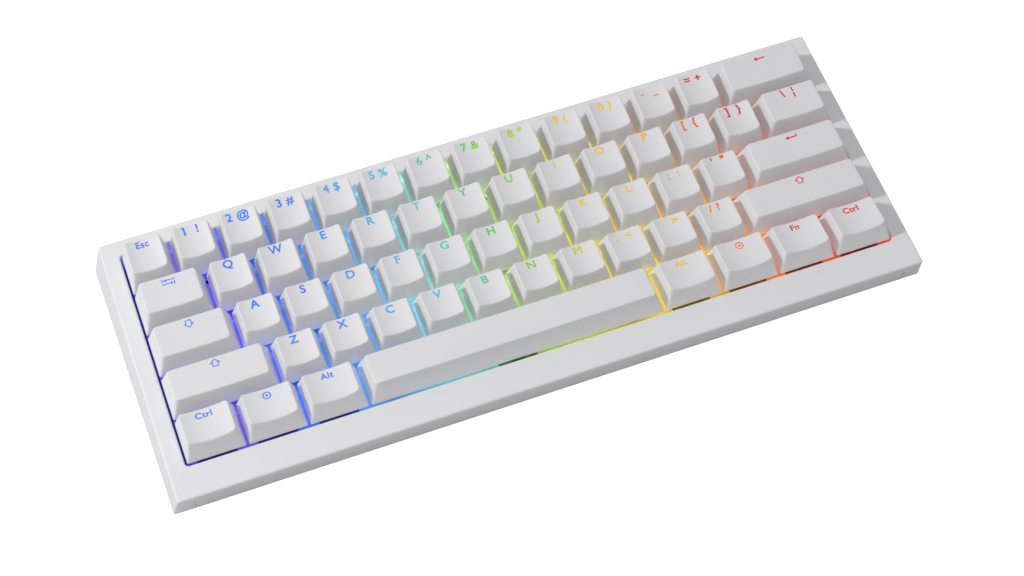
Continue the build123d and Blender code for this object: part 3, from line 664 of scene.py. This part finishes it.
# ---- stems, inserts and springs ------------------------------------------------------------
HOUSING_TOP = 0.6
CROSS_TOP = 4.2
SLIDER = (7.2, 5.6)
SHOULDER = (9.0, 7.0)
SHOULDER_TOP = -0.7
STEM_BOTTOM = -4.4
POLE_RADIUS = 1.3
POLE_BOTTOM = -9.2
POCKET_RADIUS = 2.6
POCKET_TOP = -1.9
INSERT = (5.0, 5.8)
INSERT_BOTTOM = -6.6
INSERT_BACK = 1.7            # solid behind the slot
SLOT = (2.4, 3.0)            # width and height, for the arm of the wire
SLOT_MIDDLE = -3.1
SPRING_RADIUS = 2.0
SPRING_WIRE = 0.17
SPRING_BOTTOM = -10.0
SPRING_COILS = 6
SPRING_GAP = 0.1             # free space over and under the spring


def softened_rectangle(size, radius=0.35):
    return rounded_rectangle(*size, radius, 3, 1, 1)


def stem_mesh(bm):
    """The slider in one skin: cross, slider top, shoulder, spring pocket and guide pole."""
    cross = cross_outline(CROSS_REACH, CROSS_THICK)
    cross_top = add_ring(bm, [(*p, CROSS_TOP) for p in cross])
    cross_foot = add_ring(bm, [(*p, HOUSING_TOP) for p in cross])
    slider = softened_rectangle(SLIDER)
    slider_top = add_ring(bm, [(*p, HOUSING_TOP) for p in slider])
    slider_foot = add_ring(bm, [(*p, SHOULDER_TOP) for p in slider])
    shoulder = softened_rectangle(SHOULDER)
    shoulder_top = add_ring(bm, [(*p, SHOULDER_TOP) for p in shoulder])
    shoulder_foot = add_ring(bm, [(*p, STEM_BOTTOM) for p in shoulder])
    pocket_mouth = add_ring(bm, [(*p, STEM_BOTTOM) for p in circle(POCKET_RADIUS)])
    pocket_end = add_ring(bm, [(*p, POCKET_TOP) for p in circle(POCKET_RADIUS)])
    pole_root = add_ring(bm, [(*p, POCKET_TOP) for p in circle(POLE_RADIUS)])
    pole_edge = add_ring(bm, [(*p, POLE_BOTTOM + 0.3) for p in circle(POLE_RADIUS)])
    pole_tip = add_ring(bm, [(*p, POLE_BOTTOM) for p in circle(POLE_RADIUS - 0.3)])
    fill_with_holes(bm, cross_top)
    bridge(bm, cross_foot, cross_top)
    fill_with_holes(bm, slider_top, [cross_foot])
    bridge(bm, slider_foot, slider_top)
    fill_with_holes(bm, shoulder_top, [slider_foot])
    bridge(bm, shoulder_foot, shoulder_top)
    fill_with_holes(bm, shoulder_foot, [pocket_mouth])
    bridge(bm, pocket_mouth, pocket_end)
    fill_with_holes(bm, pocket_end, [pole_root])
    bridge(bm, pole_edge, pole_root)
    bridge(bm, pole_tip, pole_edge)
    fill_with_holes(bm, pole_tip)


def make_stem(key):
    bm = bmesh.new()
    stem_mesh(bm)
    bm.transform(Matrix.Translation((key.x, key.y, 0)))
    piece = piece_from_bmesh(f"stem_{key.name}", bm, STEM_PLASTIC)
    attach(piece, key.body)
    return piece


def insert_mesh(bm):
    """A stabiliser insert: a block with a slot for the wire's arm and a cross on top."""
    cross = cross_outline(CROSS_REACH, CROSS_THICK)
    cross_top = add_ring(bm, [(*p, CROSS_TOP) for p in cross])
    cross_foot = add_ring(bm, [(*p, HOUSING_TOP) for p in cross])
    fill_with_holes(bm, cross_top)
    bridge(bm, cross_foot, cross_top)
    half_x, half_y = INSERT[0] / 2, INSERT[1] / 2
    slot_x, slot_end = SLOT[0] / 2, half_y - INSERT_BACK
    slot_low, slot_high = SLOT_MIDDLE - SLOT[1] / 2, SLOT_MIDDLE + SLOT[1] / 2
    block = [(-half_x, -half_y), (half_x, -half_y), (half_x, half_y), (-half_x, half_y)]
    low = add_ring(bm, [(*p, INSERT_BOTTOM) for p in block])
    high = add_ring(bm, [(*p, HOUSING_TOP) for p in block])
    fill_with_holes(bm, low)
    fill_with_holes(bm, high, [cross_foot])
    for i in (1, 2, 3):
        j = (i + 1) % 4
        bm.faces.new((low[i], low[j], high[j], high[i]))
    window = [(-slot_x, slot_low), (slot_x, slot_low), (slot_x, slot_high), (-slot_x, slot_high)]
    front = add_ring(bm, [(x, -half_y, z) for x, z in window])
    end = add_ring(bm, [(x, slot_end, z) for x, z in window])
    bridge(bm, front, end)
    bm.faces.new(end)
    outer = [low[0], low[1], high[1], high[0]]
    for i in range(4):
        j = (i + 1) % 4
        bm.faces.new((outer[i], outer[j], front[j], front[i]))


def make_inserts(key):
    for side, place in zip(("left", "right"), insert_places(key)):
        bm = bmesh.new()
        insert_mesh(bm)
        turn = Matrix.Rotation(STABILISED[key.name].turn, 4, "Z")
        bm.transform(Matrix.Translation((key.x + place.x, key.y, 0)) @ turn)
        piece = piece_from_bmesh(f"insert_{key.name}_{side}", bm, INSERT_PLASTIC)
        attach(piece, key.body)


def spring_mesh(bm, coils, low, high, wire_steps=8, turn_steps=16):
    """A coil of round wire with closed ends, as one closed tube."""
    count = coils * turn_steps
    rings = []
    for i in range(count + 1):
        share = i / count
        lift = low + (high - low) * (share + 0.06 * math.sin(math.tau * share))
        angle = math.tau * coils * share
        outward = Vector((math.cos(angle), math.sin(angle), 0))
        points = []
        for k in range(wire_steps):
            spin = math.tau * k / wire_steps
            offset = outward * (SPRING_WIRE * math.cos(spin)) + Vector((0, 0, SPRING_WIRE * math.sin(spin)))
            points.append(outward * SPRING_RADIUS + Vector((0, 0, lift)) + offset)
        rings.append(add_ring(bm, points))
    for first, second in zip(rings, rings[1:]):
        bridge(bm, first, second)
    bm.faces.new(rings[0])
    bm.faces.new(list(reversed(rings[-1])))


def make_spring(key):
    """A switch's spring: it stands in the housing, on the case's body."""
    low, high = SPRING_BOTTOM + SPRING_WIRE + SPRING_GAP, POCKET_TOP - SPRING_WIRE - SPRING_GAP
    bm = bmesh.new()
    spring_mesh(bm, SPRING_COILS, low, high)
    bm.transform(Matrix.Translation((key.x, key.y, 0)))
    piece = piece_from_bmesh(f"spring_{key.name}", bm, SPRING_STEEL, sharp_angle=60)
    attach(piece, "case")
    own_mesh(piece)
    return piece


# ---- legends -------------------------------------------------------------------------------
LETTER_HEIGHT = 3.6
WORD_HEIGHT = 2.75
LEGEND_DROP = 2.3            # from the top's back edge to the middle of a legend
LEGEND_SHIFT = -0.4          # letters sit a little left of the key's middle
SYMBOL_DROP = 2.7            # drawn symbols sit a little lower, on the middle
SYMBOL_SCALE = 1.28
LEGEND_PROUD = 0.02
LEGEND_THICK = 0.12
LEGEND_GRID = 0.45           # longest edge of a legend's mesh, so that it follows the scoop
FONT_CAPITAL = 0.729         # height of a capital in the built-in typeface at size 1
FONT_BOLDER = 0.036          # how far its outlines are swelled, as a share of the height
LETTER_SPACING = 1.06


def swell_outline(bm, amount):
    """Move the outline of flat triangles outwards in its plane, for bolder strokes."""
    moves = {}
    for vert in bm.verts:
        normals = []
        for edge in vert.link_edges:
            if not edge.is_boundary:
                continue
            along = (edge.other_vert(vert).co - vert.co).normalized()
            side = Vector((-along.y, along.x, 0))
            inward = edge.link_faces[0].calc_center_median() - vert.co
            normals.append(-side if side.dot(inward) > 0 else side)
        if len(normals) == 2:
            middle = (normals[0] + normals[1]).normalized()
            moves[vert] = middle * amount / max(0.5, middle.dot(normals[0]))
    for vert, move in moves.items():
        vert.co += move


def add_flag(bm, height):
    """The slanted flag that the typeface's figure one lacks, on the leftmost stroke."""
    left = min(vert.co.x for vert in bm.verts)
    top = max(vert.co.y for vert in bm.verts)
    reach = height * 0.2
    corners = [(left, top), (left - reach, top - reach), (left - reach, top - 1.7 * reach),
               (left, top - 0.8 * reach)]
    fill_with_holes(bm, add_ring(bm, [(x, y, 0) for x, y in corners]))


def text_outline(text, height):
    """Flat triangles of a word in the built-in typeface, capitals height tall, round the origin."""
    curve = bpy.data.curves.new("legend_text", "FONT")
    curve.body = text
    curve.align_x = "CENTER"
    curve.resolution_u = 4
    curve.size = height / FONT_CAPITAL
    curve.space_character = LETTER_SPACING
    carrier = bpy.data.objects.new("legend_text", curve)
    bpy.context.scene.collection.objects.link(carrier)
    bpy.context.view_layer.update()
    mesh = bpy.data.meshes.new_from_object(carrier.evaluated_get(bpy.context.evaluated_depsgraph_get()))
    bpy.data.objects.remove(carrier)
    bpy.data.curves.remove(curve)
    bm = bmesh.new()
    bm.from_mesh(mesh)
    bpy.data.meshes.remove(mesh)
    bmesh.ops.remove_doubles(bm, verts=bm.verts, dist=0.001)
    bmesh.ops.translate(bm, verts=bm.verts, vec=(0, -height / 2, 0))
    swell_outline(bm, FONT_BOLDER * height)
    if text.startswith("1"):
        add_flag(bm, height)
    return bm


def polygon_outline(loops, holes=()):
    """Flat triangles over outlines given as lists of (x, y) corners; holes belong to the first."""
    bm = bmesh.new()
    for index, loop in enumerate(loops):
        ring = add_ring(bm, [(x, y, 0) for x, y in loop])
        inner = [add_ring(bm, [(x, y, 0) for x, y in hole]) for hole in holes] if index == 0 else []
        fill_with_holes(bm, ring, inner)
    return bm


def arrow(tail_x, tip_x, y, shaft, head):
    """A sideways arrow as one outline: a thin shaft and a solid head."""
    back = tip_x - math.copysign(head * 1.5, tip_x - tail_x)
    return [(tail_x, y - shaft / 2), (back, y - shaft / 2), (back, y - head), (tip_x, y),
            (back, y + head), (back, y + shaft / 2), (tail_x, y + shaft / 2)]


def bar(x, y, half_height, thick):
    return [(x - thick / 2, y - half_height), (x + thick / 2, y - half_height),
            (x + thick / 2, y + half_height), (x - thick / 2, y + half_height)]


def up_arrow(scale, flip=1):
    """The broad arrow of shift and caps lock, pointing up or down."""
    points = [(0, 1), (1.1, 0), (0.6, 0), (0.6, -0.8), (-0.6, -0.8), (-0.6, 0), (-1.1, 0)]
    return [(x * scale, y * scale * flip) for x, y in points]


def shrink_outline(points, gap):
    """The same outline drawn in by gap, for a hollow symbol."""
    count = len(points)
    area = sum(points[i - 1][0] * points[i][1] - points[i][0] * points[i - 1][1] for i in range(count))
    side = 1 if area > 0 else -1
    result = []
    for i in range(count):
        before, here, after = (Vector(points[(i + k) % count]) for k in (-1, 0, 1))
        first, second = (here - before).normalized(), (after - here).normalized()
        normal_a, normal_b = Vector((-first.y, first.x)) * side, Vector((-second.y, second.x)) * side
        middle = (normal_a + normal_b).normalized()
        result.append(tuple(here + middle * gap / max(0.3, middle.dot(normal_a))))
    return result


def hollow(points, gap):
    return polygon_outline([points], [shrink_outline(points, gap)])


def symbol(name):
    """The drawn legends: arrows for the editing keys and a ring with a dot for the system keys."""
    line = 0.42
    if name == "<back>":
        return polygon_outline([arrow(1.9, -1.9, 0, line, 0.75)])
    if name == "<return>":
        hook = [(1.9, 1.0), (1.9 - line, 1.0), (1.9 - line, line / 2), (-0.8, line / 2), (-0.8, 0.75),
                (-1.9, 0), (-0.8, -0.75), (-0.8, -line / 2), (1.9, -line / 2)]
        return polygon_outline([hook])
    if name == "<tab>":
        upper, lower = 0.62, -0.62
        return polygon_outline([
            arrow(2.1, -1.5, upper, 0.3, 0.52), bar(-1.75, upper, 0.6, 0.32),
            arrow(-2.1, 1.5, lower, 0.3, 0.52), bar(1.75, lower, 0.6, 0.32)])
    if name in ("<shift>", "<caps>"):
        flip = 1 if name == "<shift>" else -1
        return hollow(up_arrow(1.55, flip), 0.3)
    ring_radius, ring_line = 1.3, 0.36
    ring = [tuple(point) for point in circle(ring_radius, 32)]
    dot = [(x * 0.32, y * 0.32) for x, y in ring]
    bm = polygon_outline([ring], [shrink_outline(ring, ring_line)])
    fill_with_holes(bm, add_ring(bm, [(x, y, 0) for x, y in dot]))
    return bm


def legend_outline(key):
    if key.legend.startswith("<"):
        bm = symbol(key.legend)
        bmesh.ops.scale(bm, verts=bm.verts, vec=(SYMBOL_SCALE, SYMBOL_SCALE, 1))
        return bm
    words = len(key.legend) > 1 and key.legend.isalpha()
    return text_outline(key.legend, WORD_HEIGHT if words else LETTER_HEIGHT)


def make_legend(key, shape):
    """The key's legend as a thin inlay that follows the scooped top."""
    bm = legend_outline(key)
    bmesh.ops.remove_doubles(bm, verts=bm.verts, dist=0.001)
    bmesh.ops.triangulate(bm, faces=bm.faces)
    for _ in range(3):
        long_edges = [edge for edge in bm.edges if edge.calc_length() > LEGEND_GRID]
        bmesh.ops.subdivide_edges(bm, edges=long_edges, cuts=1)
        bmesh.ops.triangulate(bm, faces=bm.faces)
    drawn = key.legend.startswith("<")
    shift = 0 if drawn else LEGEND_SHIFT
    place = shape.top_length / 2 - (SYMBOL_DROP if drawn else LEGEND_DROP)
    top_faces = list(bm.faces)
    for vert in bm.verts:
        vert.co = shape.on_top(vert.co.x + shift, vert.co.y + place)
    lift = shape.top_frame.to_3x3() @ Vector((0, 0, 1))
    solid = bmesh.ops.extrude_face_region(bm, geom=top_faces)
    raised = [item for item in solid["geom"] if isinstance(item, bmesh.types.BMVert)]
    bmesh.ops.translate(bm, verts=raised, vec=lift * LEGEND_PROUD)
    sunk = [vert for vert in bm.verts if vert not in set(raised)]
    bmesh.ops.translate(bm, verts=sunk, vec=-lift * LEGEND_THICK)
    bm.transform(Matrix.Translation((key.x, key.y, 0)))
    piece = piece_from_bmesh(f"legend_{key.name}", bm, LIT_LEGEND)
    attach(piece, key.body)
    return piece


# ---- CAD nodes that stay -------------------------------------------------------------------
NODE_MATERIALS = {
    "top_case": WHITE_CASE,
    "bottom_case": WHITE_CASE,
    "rubber_feet": RUBBER,
    "switch_plate": LIT_PLATE,
    "circuit_board": SOLDER_MASK,
    "controller_chip": CHIP_EPOXY,
    "usb_socket": STEEL,
    "board_screws": STEEL,
    "backlight_lamps": LIT_LAMP,
    "switch_lower_housings": BLACK_PLASTIC,
    "switch_upper_housings": LIT_HOUSING,
    "switch_contacts": CONTACT_METAL,
    "stabiliser_housings": BLACK_PLASTIC,
}
NODE_MATERIALS.update({f"{name}_wire": STEEL for name in STABILISED})


def finish_cad_nodes():
    """Give each CAD node that stays in view its material."""
    for name, material in NODE_MATERIALS.items():
        mesh = frame["nodes"][name].data
        mesh.materials.clear()
        mesh.materials.append(material)


# ---- floor, light and camera ---------------------------------------------------------------
CAMERA_AZIMUTH = math.radians(-20.3)     # measured round the key field's own upright
CAMERA_ELEVATION = math.radians(60.0)
CAMERA_DISTANCE = 812.0
CAMERA_AIM = Vector((138.5, -65.1, 0))   # on the key field
CAMERA_LENS = 73.93
CAMERA_ROLL = math.radians(0.3)
KEY_LIGHT_PLACE = (-0.88, 0.1, 0.92)     # metres, from the middle of the keyboard
KEY_LIGHT_POWER = 31.0
KEY_LIGHT_RADIUS = 0.08
SKY_STRENGTH = 0.56
FLOOR_GAP = 0.0001                       # metres, so that the feet and the floor don't coincide
UNDERSIDE_GAP = 0.005                    # metres, a little more than the feet lift the case


def floor_material():
    """Matt pale paper: nearly white with a faint tooth. From below it is clear, so that the underside
    shows, and it lets light pass up to the keyboard's floor, just over it."""
    material, tree, output = new_material("pale_floor")
    fibre = noise(tree, 3, detail=4)
    paper = add_node(tree, "ShaderNodeBsdfDiffuse", {
        "Color": mix_colours(tree, fibre, grey(0.59), grey(0.61)), "Normal": bump(tree, fibre, 0.1, 0.05)})
    lift = add_node(tree, "ShaderNodeEmission", {"Color": grey(1.0), "Strength": 1.0})
    seen = add_node(tree, "ShaderNodeLightPath").outputs["Is Camera Ray"]
    both = add_node(tree, "ShaderNodeAddShader", {0: paper.outputs[0], 1: lift.outputs[0]})
    pick = add_node(tree, "ShaderNodeMixShader", {"Fac": seen, 1: paper.outputs[0], 2: both.outputs[0]})
    length = add_node(tree, "ShaderNodeLightPath").outputs["Ray Length"]
    near = add_node(tree, "ShaderNodeMath", {0: length, 1: UNDERSIDE_GAP}, operation="LESS_THAN").outputs[0]
    unseen = remap(tree, seen, 0, 1, 1, 0)
    below = add_node(tree, "ShaderNodeNewGeometry").outputs["Backfacing"]
    clear = add_node(tree, "ShaderNodeMath", {0: below, 1: product(tree, near, unseen)}, operation="MAXIMUM")
    glass = add_node(tree, "ShaderNodeBsdfTransparent")
    sheet = add_node(tree, "ShaderNodeMixShader", {
        "Fac": clear.outputs[0], 1: pick.outputs[0], 2: glass.outputs[0]})
    tree.links.new(sheet.outputs[0], output.inputs["Surface"])
    return material


def make_floor():
    bm = bmesh.new()
    half = 4.0
    z = -FLOOR_GAP
    corners = add_ring(bm, [(-half, -half, z), (half, -half, z), (half, half, z), (-half, half, z)])
    bm.faces.new(corners)
    mesh = bpy.data.meshes.new("floor")
    bm.to_mesh(mesh)
    bm.free()
    mesh.materials.append(floor_material())
    floor = bpy.data.objects.new("floor", mesh)
    bpy.context.scene.collection.objects.link(floor)


def make_sky():
    """A white studio: an even dome that lights the object, and pure white to the camera."""
    world = bpy.data.worlds.new("studio")
    bpy.context.scene.world = world
    world.use_nodes = True
    tree = world.node_tree
    tree.nodes.clear()
    seen = add_node(tree, "ShaderNodeLightPath").outputs["Is Camera Ray"]
    dome = add_node(tree, "ShaderNodeBackground", {"Color": (0.97, 0.97, 1.0, 1), "Strength": SKY_STRENGTH})
    backdrop = add_node(tree, "ShaderNodeBackground", {"Color": grey(1.0), "Strength": 1.0})
    mix = add_node(tree, "ShaderNodeMixShader", {"Fac": seen, 1: dome.outputs[0], 2: backdrop.outputs[0]})
    output = tree.nodes.new("ShaderNodeOutputWorld")
    tree.links.new(mix.outputs[0], output.inputs["Surface"])


def make_key_light():
    """A soft lamp near the keyboard, up on its left, so that its light fades towards the right."""
    light = bpy.data.lights.new("key_light", "POINT")
    light.energy = KEY_LIGHT_POWER
    light.shadow_soft_size = KEY_LIGHT_RADIUS
    lamp = bpy.data.objects.new("key_light", light)
    lamp.location = KEY_LIGHT_PLACE
    bpy.context.scene.collection.objects.link(lamp)


def make_camera():
    """The camera, placed and turned with the key field."""
    away = Vector((math.sin(CAMERA_AZIMUTH) * math.cos(CAMERA_ELEVATION),
                   -math.cos(CAMERA_AZIMUTH) * math.cos(CAMERA_ELEVATION), math.sin(CAMERA_ELEVATION)))
    aim = KEY_FRAME @ CAMERA_AIM
    place = KEY_FRAME @ (CAMERA_AIM + away * CAMERA_DISTANCE)
    forward = (aim - place).normalized()
    level = forward.cross(UP).normalized()
    right = Matrix.Rotation(CAMERA_ROLL, 3, -forward) @ level
    upward = right.cross(forward)
    data = bpy.data.cameras.new("camera")
    data.lens = CAMERA_LENS
    data.clip_end = 20
    camera = bpy.data.objects.new("camera", data)
    turn = Matrix((right, upward, -forward)).transposed().to_4x4()
    camera.matrix_world = Matrix.Translation(place) @ turn
    bpy.context.scene.collection.objects.link(camera)
    bpy.context.scene.camera = camera


def set_colour_view():
    """Plain display transform, so that whites stay white."""
    settings = bpy.context.scene.view_settings
    settings.view_transform = "Standard"
    settings.look = "None"


def build():
    finish_cad_nodes()
    for key in KEYS:
        shape = CapShape(key)
        make_cap(key, shape)
        make_stem(key)
        make_inserts(key)
        make_spring(key)
        if key.legend:
            make_legend(key, shape)
    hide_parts("switch_springs")
    make_floor()
    make_sky()
    make_key_light()
    make_camera()
    set_colour_view()


build()
